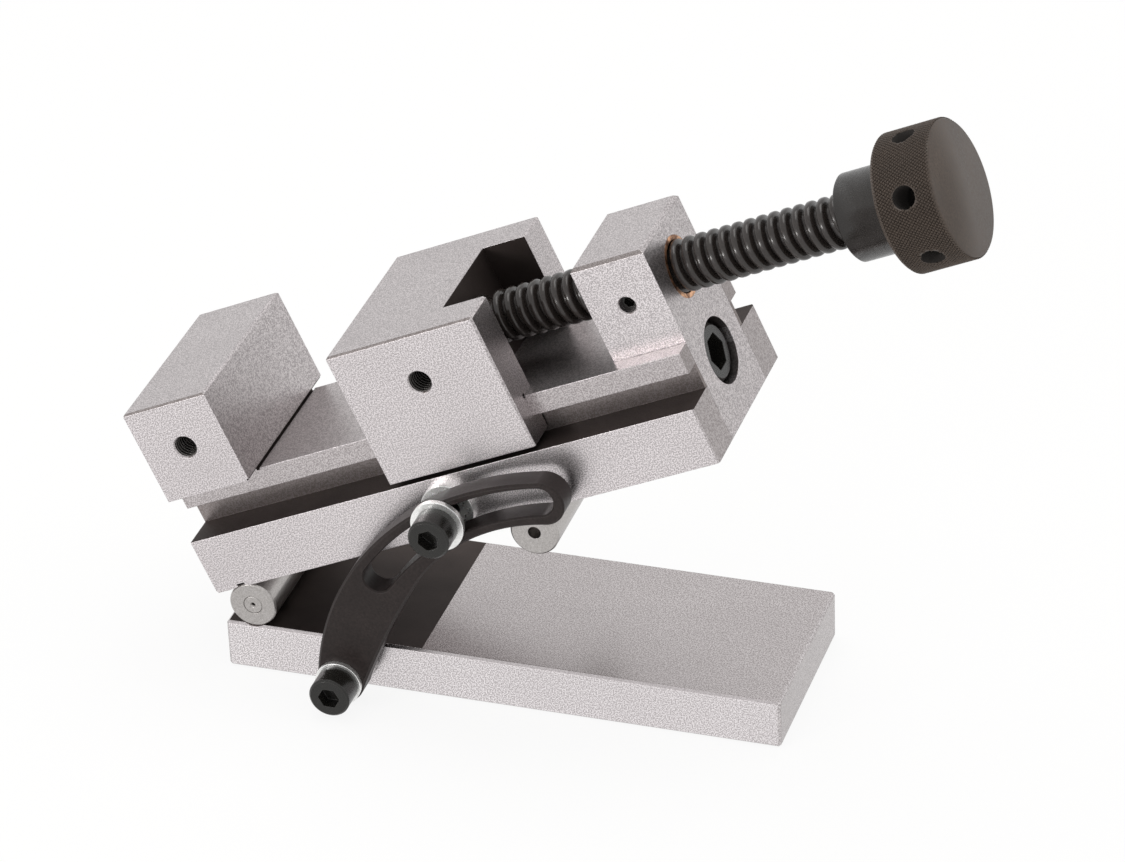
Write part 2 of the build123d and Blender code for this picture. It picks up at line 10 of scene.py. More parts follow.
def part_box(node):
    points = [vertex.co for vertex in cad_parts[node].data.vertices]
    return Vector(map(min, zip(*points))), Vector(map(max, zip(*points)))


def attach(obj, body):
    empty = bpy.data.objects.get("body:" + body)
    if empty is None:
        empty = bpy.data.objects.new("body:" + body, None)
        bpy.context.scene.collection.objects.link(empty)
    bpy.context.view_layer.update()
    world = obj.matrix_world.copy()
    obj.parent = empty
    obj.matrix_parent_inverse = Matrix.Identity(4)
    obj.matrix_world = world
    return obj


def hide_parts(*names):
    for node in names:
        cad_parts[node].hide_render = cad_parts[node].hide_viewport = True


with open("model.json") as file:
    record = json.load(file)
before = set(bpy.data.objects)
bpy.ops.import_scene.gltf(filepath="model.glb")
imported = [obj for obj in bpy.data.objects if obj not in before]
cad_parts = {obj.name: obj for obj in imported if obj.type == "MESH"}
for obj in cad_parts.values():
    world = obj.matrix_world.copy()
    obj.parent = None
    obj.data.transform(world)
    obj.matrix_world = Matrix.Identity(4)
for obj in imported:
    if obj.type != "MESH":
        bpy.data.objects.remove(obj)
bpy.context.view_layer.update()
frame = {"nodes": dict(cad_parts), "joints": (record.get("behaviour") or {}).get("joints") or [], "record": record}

bl_info = {
    "name": "Sine vise finish",
    "version": (1, 0, 0),
    "blender": (4, 5, 0),
    "location": "View3D > Sidebar > Sine vise",
    "description": "Dresses the packed sine vise: ground steel, black oxide, knurl, threads and stage",
    "category": "Object",
}

MM = 0.001

# The vise's own frame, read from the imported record: along the rail, across, and square to the rail
MOUNTS = {mount["name"]: mount for mount in frame["record"]["mounts"]}
JOINTS = {joint["name"]: joint for joint in frame["joints"]}
ALONG = Vector(MOUNTS["fixed_jaw_face"]["axis"]).normalized()
ACROSS = Vector((0, 1, 0))
UP = ALONG.cross(ACROSS)
HINGE = Vector(JOINTS["tilt"]["pos_m"])
TILT = math.atan2(ALONG.z, ALONG.x)
# The screw's axis runs along the rail, through the point that is square above the hinge
SCREW_Z = (Vector(JOINTS["screw_turn"]["pos_m"]) - HINGE).dot(UP)
CENTRE = HINGE + UP * SCREW_Z


def from_screw(point):
    """How far a point lies from the screw's axis, as a vector square to it."""
    away = point - CENTRE
    return away - ALONG * away.dot(ALONG)


def vise_reach(node, direction):
    """Lowest and highest station of a CAD node along a direction of the vise's frame, in metres."""
    reach = [(vertex.co - HINGE).dot(direction) for vertex in frame["nodes"][node].data.vertices]
    return min(reach), max(reach)


# Colours and nodes

def linear(code):
    """An sRGB hex colour as linear RGBA."""
    channels = [int(code[at:at + 2], 16) / 255 for at in (1, 3, 5)]
    flat = [c / 12.92 if c <= 0.04045 else ((c + 0.055) / 1.055) ** 2.4 for c in channels]
    return (*flat, 1.0)


def colour_property(name, description, code):
    return FloatVectorProperty(
        name=name, description=description, subtype="COLOR", size=4, min=0, max=1, default=linear(code)
    )


def length_property(name, description, metres):
    return FloatProperty(name=name, description=description, default=metres, unit="LENGTH", precision=5)


def add(tree, kind, inputs=(), **settings):
    """Add a node, set its properties, then its inputs, which are given in order or by name. Each input
    is a value, a socket to link to, or a node, which stands for its first output that is in use."""
    made = tree.nodes.new(kind)
    for name, value in settings.items():
        setattr(made, name, value)
    pairs = inputs.items() if isinstance(inputs, dict) else enumerate(inputs)
    for key, value in pairs:
        if isinstance(value, bpy.types.Node):
            value = next(socket for socket in value.outputs if socket.enabled)
        if isinstance(value, bpy.types.NodeSocket):
            tree.links.new(value, made.inputs[key])
        else:
            made.inputs[key].default_value = value
    return made


# A Mix node for colours takes its factor as input 0 and its two colours as 6 and 7. A Map Range takes
# its value as input 0, the old range as 1 and 2 and the new one as 3 and 4. This is the old range for
# a noise, which mostly stays inside it.
NOISE_SPAN = {1: 0.25, 2: 0.75}


def fresh(name):
    """A new material and its empty node tree."""
    material = bpy.data.materials.new(name)
    material.use_nodes = True
    material.node_tree.nodes.clear()
    return material, material.node_tree


def cells(tree, sizes_mm, turn=0.0, detail=2.0, rough=0.5):
    """Noise on Object coordinates, with cells of a real size, turned with the vise's rail."""
    laid = add(
        tree,
        "ShaderNodeMapping",
        {
            "Vector": add(tree, "ShaderNodeTexCoord").outputs["Object"],
            "Rotation": (0, turn, 0),
            "Scale": [size * MM for size in sizes_mm],
        },
        vector_type="TEXTURE",
    )
    return add(
        tree, "ShaderNodeTexNoise", {"Vector": laid, "Scale": 1.0, "Detail": detail, "Roughness": rough}
    )


def rounded_edges(tree, radius_mm):
    """Normal rounded over the edges, and a mask that is 1 on them."""
    contrast = 6.0
    soft = add(tree, "ShaderNodeBevel", {"Radius": radius_mm * MM}, samples=6)
    flat = add(tree, "ShaderNodeNewGeometry").outputs["True Normal"]
    same = add(tree, "ShaderNodeVectorMath", (soft, flat), operation="DOT_PRODUCT")
    away = add(tree, "ShaderNodeMath", (1.0, same), operation="SUBTRACT")
    return soft, add(tree, "ShaderNodeMath", (away, contrast), operation="MULTIPLY", use_clamp=True)


def block_faces(tree, along, up):
    """Two masks of a block's own faces: its two long sides, and the chamfers that run along it."""
    square, slight = 0.97, 0.2
    flat = add(tree, "ShaderNodeNewGeometry").outputs["True Normal"]
    facing = [
        add(tree, "ShaderNodeVectorMath", (flat, axis), operation="DOT_PRODUCT")
        for axis in (along, ACROSS, up)
    ]
    ends, sides, tops = [add(tree, "ShaderNodeMath", (part,), operation="ABSOLUTE") for part in facing]
    most = add(tree, "ShaderNodeMath", (sides, tops), operation="MAXIMUM")
    slanted = add(tree, "ShaderNodeMath", (most, square), operation="LESS_THAN")
    lengthwise = add(tree, "ShaderNodeMath", (ends, slight), operation="LESS_THAN")
    chamfers = add(tree, "ShaderNodeMath", (slanted, lengthwise), operation="MULTIPLY")
    return add(tree, "ShaderNodeMath", (sides, square), operation="GREATER_THAN"), chamfers


def from_hinge(tree, turn):
    """Object coordinates in millimetres from the hinge roll's axis, turned with the rail."""
    place = add(tree, "ShaderNodeTexCoord").outputs["Object"]
    return add(
        tree,
        "ShaderNodeMapping",
        {"Vector": place, "Location": HINGE, "Rotation": (0, turn, 0), "Scale": (MM, MM, MM)},
        vector_type="TEXTURE",
    )


def within(tree, coordinates, low, high):
    """1 inside a box of the given coordinates, 0 outside; None leaves a side open, and the second
    axis counts both ways from the middle."""
    axes = add(tree, "ShaderNodeSeparateXYZ", (coordinates,)).outputs
    places = (axes[0], add(tree, "ShaderNodeMath", (axes[1],), operation="ABSOLUTE"), axes[2])
    inside = 1.0
    for place, least, most in zip(places, low, high):
        for limit, side in ((least, "GREATER_THAN"), (most, "LESS_THAN")):
            if limit is not None:
                test = add(tree, "ShaderNodeMath", (place, limit), operation=side)
                inside = add(tree, "ShaderNodeMath", (test, inside), operation="MULTIPLY")
    return inside


def seen_rays(tree):
    """1 for what is seen, straight on, mirrored or through glass, and 0 for light on its way."""
    rays = add(tree, "ShaderNodeLightPath").outputs
    seen = add(tree, "ShaderNodeMath", (rays["Is Camera Ray"], rays["Is Glossy Ray"]), operation="ADD")
    return add(
        tree, "ShaderNodeMath", (seen, rays["Is Transmission Ray"]), operation="ADD", use_clamp=True
    )


# Materials

def ground_steel(name, look, along, up, rim, black=(), painted_shade=(), tones=None, gloss=(0.29, 0.39)):
    """Tool steel, hardened and surface ground. Under the lamp the ground faces show a fine sparkle
    of bright and dull grain over faint straight grinding lines. The long sides are a little
    glossier, and every other face is painted darker than them, a painted shade. Chamfers are left
    as cut by the milling cutter. black lists the boxes, in millimetres from the hinge, that are
    painted black: the dark skin of hardening where the wheel doesn't reach, and a painted shadow
    where a box is given for one. The next list gives the boxes painted duller, a painted shade,
    and how much duller each is. tones are the dull and the bright grain, and gloss is the range
    of roughness."""
    material, tree = fresh(name)
    turn = -math.atan2(along.z, along.x)
    # real grinding grain is about 0.05 mm, too fine to show, so it is drawn eight times as coarse
    grain = cells(tree, (0.42, 0.42, 0.42), turn, detail=1.0, rough=0.6)
    lines = cells(tree, (22, 0.5, 0.5), turn, detail=3)
    cloud = cells(tree, (34, 26, 26), turn, detail=3)
    sparkle = add(tree, "ShaderNodeMapRange", {0: grain, 1: 0.42, 2: 0.58, 3: 0.0, 4: 1.0})
    dull, bright = tones or (look.dark, look.pale)
    tone = add(tree, "ShaderNodeMix", {0: sparkle, 6: dull, 7: bright}, data_type="RGBA")
    for pattern, most in ((lines, 0.22), (cloud, 0.2)):
        share = add(tree, "ShaderNodeMapRange", {0: pattern, **NOISE_SPAN, 3: 0.0, 4: most})
        tone = add(tree, "ShaderNodeMix", {0: share, 6: tone, 7: dull}, data_type="RGBA")
    sides, chamfers = block_faces(tree, along, up)
    others = add(tree, "ShaderNodeMath", (1.0, sides), operation="SUBTRACT")
    # every face but the long sides is multiplied darker by the first of these, a painted shade, and made a little
    # rougher
    painted_face_shade, chamfer_share, rougher = (0.76, 0.755, 0.75, 1), 0.6, 0.03
    tone = add(
        tree, "ShaderNodeMix", {0: others, 6: tone, 7: painted_face_shade}, data_type="RGBA", blend_type="MULTIPLY"
    )
    share = add(tree, "ShaderNodeMath", (chamfers, chamfer_share), operation="MULTIPLY")
    tone = add(tree, "ShaderNodeMix", {0: share, 6: tone, 7: rim}, data_type="RGBA")
    rough = add(tree, "ShaderNodeMapRange", {0: grain, **NOISE_SPAN, 3: gloss[0], 4: gloss[1]})
    more = add(tree, "ShaderNodeMath", (others, rougher), operation="MULTIPLY")
    rough = add(tree, "ShaderNodeMath", (rough, more), operation="ADD")
    local = from_hinge(tree, turn)
    # each box is painted duller towards the chamfer colour, a painted shade
    for low, high, duller in painted_shade:
        share = add(tree, "ShaderNodeMath", (within(tree, local, low, high), duller), operation="MULTIPLY")
        tone = add(tree, "ShaderNodeMix", {0: share, 6: tone, 7: look.rim}, data_type="RGBA")
    # boxes painted black: the dark skin of hardening in recesses, and a painted shadow where a box is given for
    # one; both get paler cloudy patches and more roughness
    scale = 0.0
    for low, high in black:
        scale = add(tree, "ShaderNodeMath", (within(tree, local, low, high), scale), operation="MAXIMUM")
    paler_scale_and_shade, rougher_scale_and_shade = 2.2, 0.25
    pale_scale_and_shade = [c * paler_scale_and_shade for c in look.scale[:3]] + [1]
    patches = add(tree, "ShaderNodeMapRange", {0: cloud, **NOISE_SPAN, 3: 0.0, 4: 1.0})
    scale_and_shade_tone = add(tree, "ShaderNodeMix", {0: patches, 6: look.scale, 7: pale_scale_and_shade}, data_type="RGBA")
    tone = add(tree, "ShaderNodeMix", {0: scale, 6: tone, 7: scale_and_shade_tone}, data_type="RGBA")
    more = add(tree, "ShaderNodeMath", (scale, rougher_scale_and_shade), operation="MULTIPLY")
    rough = add(tree, "ShaderNodeMath", (rough, more), operation="ADD")
    soft, _ = rounded_edges(tree, 0.25)
    halves = [add(tree, "ShaderNodeMath", (part, 0.5), operation="MULTIPLY") for part in (lines, grain)]
    relief = {"Height": add(tree, "ShaderNodeMath", halves, operation="ADD"), "Normal": soft}
    bump = add(tree, "ShaderNodeBump", {"Strength": 0.35, "Distance": 0.03 * MM, **relief})
    shader = add(
        tree,
        "ShaderNodeBsdfPrincipled",
        {"Base Color": tone, "Metallic": 1.0, "Roughness": rough, "Normal": bump},
    )
    add(tree, "ShaderNodeOutputMaterial", (shader,))
    return material


def lapped_steel(name, pale, dark):
    """Hardened rolls, cylindrically ground and lapped: finer than the blocks, with turning rings on
    the end faces and a soft gloss along the roll."""
    material, tree = fresh(name)
    # real lapping grain is far finer, and is drawn as coarse as it needs to show
    speck = cells(tree, (0.35, 0.35, 0.35), detail=2, rough=0.7)
    rings = cells(tree, (0.3, 30, 0.3), detail=3)
    edge_share = 0.5
    share = add(tree, "ShaderNodeMapRange", {0: speck, **NOISE_SPAN, 3: 0.0, 4: 1.0})
    tone = add(tree, "ShaderNodeMix", {0: share, 6: pale, 7: dark}, data_type="RGBA")
    soft, edge = rounded_edges(tree, 0.3)
    share = add(tree, "ShaderNodeMath", (edge, edge_share), operation="MULTIPLY")
    tone = add(tree, "ShaderNodeMix", {0: share, 6: tone, 7: dark}, data_type="RGBA")
    rough = add(tree, "ShaderNodeMapRange", {0: rings, **NOISE_SPAN, 3: 0.26, 4: 0.36})
    relief = {"Height": rings, "Normal": soft}
    bump = add(tree, "ShaderNodeBump", {"Strength": 0.15, "Distance": 0.01 * MM, **relief})
    shader = add(
        tree,
        "ShaderNodeBsdfPrincipled",
        {"Base Color": tone, "Metallic": 1.0, "Roughness": rough, "Normal": bump},
    )
    add(tree, "ShaderNodeOutputMaterial", (shader,))
    return material


def black_oxide(name, deep, worn, gloss, grain_mm, wear, specular=0.35, deeper=None, bare=0.0):
    """Black oxide on machined steel: a thin dark skin with a satin, slightly oily gloss. It wears
    through to grey steel on the edges first. gloss is the range of roughness. deeper masks a zone
    that is darker, and says how much rougher it is. bare is how far the steel shines through."""
    material, tree = fresh(name)
    # the skin's own grain is far finer, and is drawn as coarse as it needs to show
    grain = cells(tree, (grain_mm,) * 3, detail=4, rough=0.65)
    cloud = cells(tree, (9, 9, 9), detail=3)
    least_wear, paler, cloud_share, zone_share, steel_shine = 0.4, 2.6, 0.5, 0.9, 0.9
    soft, edge = rounded_edges(tree, 0.3)
    patches = add(tree, "ShaderNodeMapRange", {0: cloud, **NOISE_SPAN, 3: wear * least_wear, 4: wear})
    rub = add(tree, "ShaderNodeMath", (edge, patches), operation="MULTIPLY", use_clamp=True)
    pale = [c * paler for c in deep[:3]] + [1]
    share = add(tree, "ShaderNodeMapRange", {0: grain, **NOISE_SPAN, 3: 0.0, 4: 1.0})
    tone = add(tree, "ShaderNodeMix", {0: share, 6: deep, 7: pale}, data_type="RGBA")
    share = add(tree, "ShaderNodeMapRange", {0: cloud, **NOISE_SPAN, 3: 0.0, 4: cloud_share})
    tone = add(tree, "ShaderNodeMix", {0: share, 6: tone, 7: deep}, data_type="RGBA")
    rough = add(tree, "ShaderNodeMapRange", {0: grain, 1: 0.3, 2: 0.7, 3: gloss[0], 4: gloss[1]})
    if deeper is not None:
        zone, rougher = deeper(tree)
        share = add(tree, "ShaderNodeMath", (zone, zone_share), operation="MULTIPLY")
        tone = add(tree, "ShaderNodeMix", {0: share, 6: tone, 7: linear("#070707")}, data_type="RGBA")
        rough = add(tree, "ShaderNodeMath", (rough, rougher), operation="ADD")
    tone = add(tree, "ShaderNodeMix", {0: rub, 6: tone, 7: worn}, data_type="RGBA")
    steel = add(tree, "ShaderNodeMath", (rub, steel_shine), operation="MULTIPLY")
    relief = {"Height": grain, "Normal": soft}
    shader = add(
        tree,
        "ShaderNodeBsdfPrincipled",
        {
            "Base Color": tone,
            "Metallic": add(tree, "ShaderNodeMath", (steel, bare), operation="MAXIMUM"),
            "Roughness": rough,
            "Specular IOR Level": specular,
            "Normal": add(tree, "ShaderNodeBump", {"Strength": 0.4, "Distance": 0.04 * MM, **relief}),
        },
    )
    add(tree, "ShaderNodeOutputMaterial", (shader,))
    return material


def bright_zinc(name, pale, dark):
    """Zinc plated washers: bright, slightly milky, and painted brightest along the rim's edges, a painted
    highlight.
    """
    material, tree = fresh(name)
    # the plating's milky specks are finer, and are drawn as coarse as they need to show
    speck = cells(tree, (0.8, 0.8, 0.8), detail=3)
    soft, edge = rounded_edges(tree, 0.35)
    milky = add(tree, "ShaderNodeMapRange", {0: speck, **NOISE_SPAN, 3: 0.0, 4: 0.7})
    tone = add(tree, "ShaderNodeMix", {0: milky, 6: pale, 7: dark}, data_type="RGBA")
    # the edges are painted the bright tone, a painted highlight
    tone = add(tree, "ShaderNodeMix", {0: edge, 6: tone, 7: pale}, data_type="RGBA")
    rough = add(tree, "ShaderNodeMapRange", {0: speck, **NOISE_SPAN, 3: 0.22, 4: 0.38})
    shader = add(
        tree,
        "ShaderNodeBsdfPrincipled",
        {"Base Color": tone, "Metallic": 0.85, "Roughness": rough, "Normal": soft},
    )
    add(tree, "ShaderNodeOutputMaterial", (shader,))
    return material


def bronze(name, pale, dark):
    """Cast bush bronze, turned: warm, with patches darkened by the oil of the screw."""
    material, tree = fresh(name)
    patch = cells(tree, (3, 3, 3), detail=4, rough=0.6)
    edge_share = 0.5
    soft, edge = rounded_edges(tree, 0.3)
    share = add(tree, "ShaderNodeMath", (edge, edge_share), operation="MULTIPLY")
    tone = add(tree, "ShaderNodeMix", {0: share, 6: pale, 7: dark}, data_type="RGBA")
    oil = add(tree, "ShaderNodeMapRange", {0: patch, 1: 0.4, 2: 0.58, 3: 0.0, 4: 1.0})
    tone = add(tree, "ShaderNodeMix", {0: oil, 6: tone, 7: dark}, data_type="RGBA")
    rough = add(tree, "ShaderNodeMapRange", {0: patch, **NOISE_SPAN, 3: 0.3, 4: 0.5})
    shader = add(
        tree,
        "ShaderNodeBsdfPrincipled",
        {"Base Color": tone, "Metallic": 1.0, "Roughness": rough, "Normal": soft},
    )
    add(tree, "ShaderNodeOutputMaterial", (shader,))
    return material


def paper_floor(name, tone):
    """Matt white paper sweep. To the camera it reads as white, with the object's shadow left in it."""
    material, tree = fresh(name)
    whiteness = 0.88
    share = add(tree, "ShaderNodeMath", (seen_rays(tree), whiteness), operation="MULTIPLY")
    matt = add(tree, "ShaderNodeBsdfDiffuse", {"Color": tone})
    glow = add(tree, "ShaderNodeEmission", {"Color": (1, 1, 1, 1), "Strength": 1.0})
    blend = add(tree, "ShaderNodeMixShader", (share, matt, glow))
    add(tree, "ShaderNodeOutputMaterial", (blend,))
    return material


# Meshes

def dress(node, material):
    """Give a CAD node its finish."""
    mesh = frame["nodes"][node].data
    mesh.materials.clear()
    mesh.materials.append(material)


def piece(name, mesh, body, material=None, replaces=()):
    """Put a finished mesh in the scene and let it ride on its body."""
    made = bpy.data.objects.new(name, mesh)
    bpy.context.scene.collection.objects.link(made)
    if material is not None:
        mesh.materials.clear()
        mesh.materials.append(material)
    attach(made, body)
    if replaces:
        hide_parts(*replaces)
    return made


def grown(name, tree, inputs):
    """Run a Geometry Nodes tree with its named inputs and return the result as a plain mesh."""
    carrier = bpy.data.objects.new(name + "_carrier", bpy.data.meshes.new(name + "_seed"))
    bpy.context.scene.collection.objects.link(carrier)
    modifier = carrier.modifiers.new(name, "NODES")
    modifier.node_group = tree
    sockets = {
        item.name: item.identifier for item in tree.interface.items_tree if item.in_out == "INPUT"
    }
    for key, value in inputs.items():
        modifier[sockets[key]] = value
    depsgraph = bpy.context.evaluated_depsgraph_get()
    mesh = bpy.data.meshes.new_from_object(carrier.evaluated_get(depsgraph), depsgraph=depsgraph)
    bpy.data.objects.remove(carrier)
    mesh.name = name
    return mesh


def placed(mesh, origin, x_dir, z_dir):
    """Move a mesh made round the Z axis to a place and direction of the shared frame."""
    y_dir = z_dir.cross(x_dir)
    turn = Matrix((x_dir, y_dir, z_dir)).transposed().to_4x4()
    mesh.transform(Matrix.Translation(origin) @ turn)
    mesh.update()
    return mesh


def new_tree(name, inputs):
    """A geometry tree with one mesh output and named float or integer inputs."""
    tree = bpy.data.node_groups.new(name, "GeometryNodeTree")
    tree.interface.new_socket("Geometry", in_out="INPUT", socket_type="NodeSocketGeometry")
    for label, kind in inputs:
        tree.interface.new_socket(label, in_out="INPUT", socket_type=kind)
    tree.interface.new_socket("Geometry", in_out="OUTPUT", socket_type="NodeSocketGeometry")
    return tree, add(tree, "NodeGroupInput").outputs


def close_tree(tree, geometry, material):
    """End a tree in Realize Instances and Set Material."""
    real = add(tree, "GeometryNodeRealizeInstances", (geometry,))
    finish = add(tree, "GeometryNodeSetMaterial", {"Geometry": real, "Material": material})
    add(tree, "NodeGroupOutput", (finish,))


def knurl_tree(material):
    """Diamond knurl: staggered four-sided points round the Z axis."""
    tree, given = new_tree(
        "Diamond knurl",
        (
            ("Radius", "NodeSocketFloat"),
            ("Length", "NodeSocketFloat"),
            ("Depth", "NodeSocketFloat"),
            ("Around", "NodeSocketInt"),
            ("Rows", "NodeSocketInt"),
            ("Holes", "NodeSocketInt"),
            ("Hole angle", "NodeSocketFloat"),
            ("Hole radius", "NodeSocketFloat"),
        ),
    )
    count = add(tree, "ShaderNodeMath", (given["Around"], given["Rows"]), operation="MULTIPLY")
    points = add(tree, "GeometryNodePoints", {"Count": count})
    index = add(tree, "GeometryNodeInputIndex")
    row = add(tree, "ShaderNodeMath", (index, given["Around"]), operation="DIVIDE")
    row = add(tree, "ShaderNodeMath", (row,), operation="FLOOR")
    column = add(tree, "ShaderNodeMath", (index, given["Around"]), operation="MODULO")
    # every other row is set half a step round
    stagger = add(tree, "ShaderNodeMath", (row, 2.0), operation="MODULO")
    stagger = add(tree, "ShaderNodeMath", (stagger, 0.5), operation="MULTIPLY")
    step = add(tree, "ShaderNodeMath", (math.tau, given["Around"]), operation="DIVIDE")
    angle = add(tree, "ShaderNodeMath", (column, stagger), operation="ADD")
    angle = add(tree, "ShaderNodeMath", (angle, step), operation="MULTIPLY")
    cosine = add(tree, "ShaderNodeMath", (angle,), operation="COSINE")
    sine = add(tree, "ShaderNodeMath", (angle,), operation="SINE")
    spaces = add(tree, "ShaderNodeMath", (given["Rows"], 1.0), operation="ADD")
    spacing = add(tree, "ShaderNodeMath", (given["Length"], spaces), operation="DIVIDE")
    height = add(tree, "ShaderNodeMath", (row, 1.0), operation="ADD")
    height = add(tree, "ShaderNodeMath", (height, spacing), operation="MULTIPLY")
    foot = add(tree, "ShaderNodeMath", (given["Radius"], given["Depth"]), operation="SUBTRACT")
    sideways = [add(tree, "ShaderNodeMath", (part, foot), operation="MULTIPLY") for part in (cosine, sine)]
    place = add(tree, "ShaderNodeCombineXYZ", (*sideways, height))
    points = add(tree, "GeometryNodeSetPosition", {"Geometry": points, "Position": place})
    # keep clear of the holes: arc and axial distance to the nearest one
    share = add(tree, "ShaderNodeMath", (math.tau, given["Holes"]), operation="DIVIDE")
    half = add(tree, "ShaderNodeMath", (share, 0.5), operation="MULTIPLY")
    past = add(tree, "ShaderNodeMath", (angle, given["Hole angle"]), operation="SUBTRACT")
    past = add(tree, "ShaderNodeMath", (past, half), operation="ADD")
    near = add(tree, "ShaderNodeMath", (past, share), operation="FLOORED_MODULO")
    near = add(tree, "ShaderNodeMath", (near, half), operation="SUBTRACT")
    arc = add(tree, "ShaderNodeMath", (near, given["Radius"]), operation="MULTIPLY")
    middle = add(tree, "ShaderNodeMath", (given["Length"], 0.5), operation="MULTIPLY")
    rise = add(tree, "ShaderNodeMath", (height, middle), operation="SUBTRACT")
    squares = [add(tree, "ShaderNodeMath", (part, part), operation="MULTIPLY") for part in (arc, rise)]
    square = add(tree, "ShaderNodeMath", squares, operation="ADD")
    gap = add(tree, "ShaderNodeMath", (square,), operation="SQRT")
    clear = add(tree, "ShaderNodeMath", (gap, given["Hole radius"]), operation="GREATER_THAN")
    tooth = add(
        tree,
        "GeometryNodeMeshCone",
        {"Vertices": 4, "Radius Top": 0.12, "Radius Bottom": 1.0, "Depth": 1.0},
        fill_type="NGON",
    )
    radial = add(tree, "ShaderNodeCombineXYZ", (cosine, sine))
    outwards = add(
        tree, "FunctionNodeAlignRotationToVector", {"Vector": radial}, axis="Z", pivot_axis="AUTO"
    )
    upright = add(
        tree,
        "FunctionNodeAlignRotationToVector",
        {"Rotation": outwards, "Vector": (0, 0, 1)},
        axis="Y",
        pivot_axis="Z",
    )
    wide = add(tree, "ShaderNodeMath", (step, given["Radius"]), operation="MULTIPLY")
    wide = add(tree, "ShaderNodeMath", (wide, 0.5), operation="MULTIPLY")
    size = add(tree, "ShaderNodeCombineXYZ", (wide, spacing, given["Depth"]))
    teeth = add(
        tree,
        "GeometryNodeInstanceOnPoints",
        {"Points": points, "Selection": clear, "Instance": tooth, "Rotation": upright, "Scale": size},
    )
    close_tree(tree, teeth, material)
    return tree


def thread_tree(material):
    """Screw thread: a trapezoid swept along a right-hand helix round the Z axis, fading in and out of
    the surface at its ends. A negative depth gives the thread of a hole, which stands inwards."""
    tree, given = new_tree(
        "Screw thread",
        (
            ("Root radius", "NodeSocketFloat"),
            ("Depth", "NodeSocketFloat"),
            ("Root width", "NodeSocketFloat"),
            ("Crest width", "NodeSocketFloat"),
            ("Pitch", "NodeSocketFloat"),
            ("Turns", "NodeSocketFloat"),
            ("Fade turns", "NodeSocketFloat"),
            ("Rounding", "NodeSocketFloat"),
            ("Steps", "NodeSocketInt"),
        ),
    )
    height = add(tree, "ShaderNodeMath", (given["Pitch"], given["Turns"]), operation="MULTIPLY")
    helix = add(
        tree,
        "GeometryNodeCurveSpiral",
        {
            "Resolution": given["Steps"],
            "Rotations": given["Turns"],
            "Start Radius": given["Root radius"],
            "End Radius": given["Root radius"],
            "Height": height,
            "Reverse": True,
        },
    )
    helix = add(tree, "GeometryNodeSetCurveNormal", {"Curve": helix}, mode="Z_UP")
    corners = {}
    foot, crest = (0.0, "Root width"), (1.0, "Crest width")
    outline = ((foot, -0.5), (crest, -0.5), (crest, 0.5), (foot, 0.5))
    for point, ((out, width), side) in enumerate(outline, 1):
        across = add(tree, "ShaderNodeMath", (given["Depth"], out), operation="MULTIPLY")
        beside = add(tree, "ShaderNodeMath", (given[width], side), operation="MULTIPLY")
        corners[f"Point {point}"] = add(tree, "ShaderNodeCombineXYZ", (across, beside))
    profile = add(tree, "GeometryNodeCurvePrimitiveQuadrilateral", corners, mode="POINTS")
    rounded = {"Curve": profile, "Radius": given["Rounding"], "Count": 3}
    profile = add(tree, "GeometryNodeFilletCurve", rounded, mode="POLY")
    along = add(tree, "GeometryNodeSplineParameter").outputs["Factor"]
    rise = add(tree, "ShaderNodeMath", (along, given["Turns"]), operation="MULTIPLY")
    fall = add(tree, "ShaderNodeMath", (given["Turns"], rise), operation="SUBTRACT")
    thinnest = 0.02
    fade = add(tree, "ShaderNodeMath", (rise, fall), operation="MINIMUM")
    fade = add(tree, "ShaderNodeMath", (fade, given["Fade turns"]), operation="DIVIDE")
    fade = add(tree, "ShaderNodeMath", (fade, thinnest), operation="MAXIMUM")
    fade = add(tree, "ShaderNodeMath", (fade, 1.0), operation="MINIMUM")
    swept = add(
        tree,
        "GeometryNodeCurveToMesh",
        {"Curve": helix, "Profile Curve": profile, "Scale": fade, "Fill Caps": True},
    )
    inwards = add(tree, "ShaderNodeMath", (given["Depth"], 0.0), operation="LESS_THAN")
    swept = add(tree, "GeometryNodeFlipFaces", {"Mesh": swept, "Selection": inwards})
    close_tree(tree, swept, material)
    return tree


def creased(mesh, degrees):
    """Smooth shading, with edges sharper than the angle kept."""
    mesh.shade_smooth()
    mesh.set_sharp_from_angle(angle=math.radians(degrees))
    return mesh


def lathe(name, outline, steps):
    """Closed body turned round the Z axis from an outline of (radius, height) points, axis to axis."""
    work = bmesh.new()
    rings = []
    for radius, height in outline:
        if radius < 1e-9:
            rings.append([work.verts.new((0, 0, height))])
            continue
        angles = [math.tau * step / steps for step in range(steps)]
        rings.append(
            [work.verts.new((radius * math.cos(a), radius * math.sin(a), height)) for a in angles]
        )
    for low, high in zip(rings, rings[1:]):
        for step in range(steps):
            after = (step + 1) % steps
            corners = ((low, step), (low, after), (high, after), (high, step))
            unique = list(dict.fromkeys(ring[at % len(ring)] for ring, at in corners))
            if len(unique) > 2:
                work.faces.new(unique)
    bmesh.ops.recalc_face_normals(work, faces=work.faces)
    mesh = bpy.data.meshes.new(name)
    work.to_mesh(mesh)
    work.free()
    return creased(mesh, 30)


# Settings

